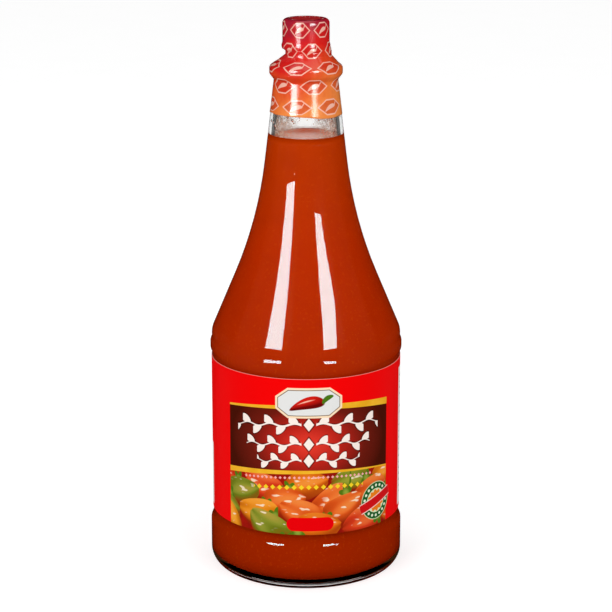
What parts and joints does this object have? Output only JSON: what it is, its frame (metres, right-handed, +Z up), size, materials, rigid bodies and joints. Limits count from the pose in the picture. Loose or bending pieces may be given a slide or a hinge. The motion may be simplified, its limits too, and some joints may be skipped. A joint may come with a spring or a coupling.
{
  "type": "hot sauce bottle",
  "caption": "Tall round glass bottle of thin red sauce with a long tapering neck, wraparound paper label and printed shrink sleeve over its small screw cap.",
  "frame": {"origin": "middle of the foot, on the surface the bottle stands on", "axes": "+Z up along the bottle's axis of turning; the label's front faces -Y"},
  "size_m": [0.0698, 0.0698, 0.2004],
  "materials": {
    "glass": "clear",
    "sauce": "opaque liquid",
    "cap": "gloss",
    "sleeve": "printed film",
    "label": "printed, semi-gloss"
  },
  "bodies": {
    "root": {"bottle": "glass", "sauce": "sauce", "cap": "cap", "sleeve": "sleeve", "label": "label"}
  },
  "joints": []
}
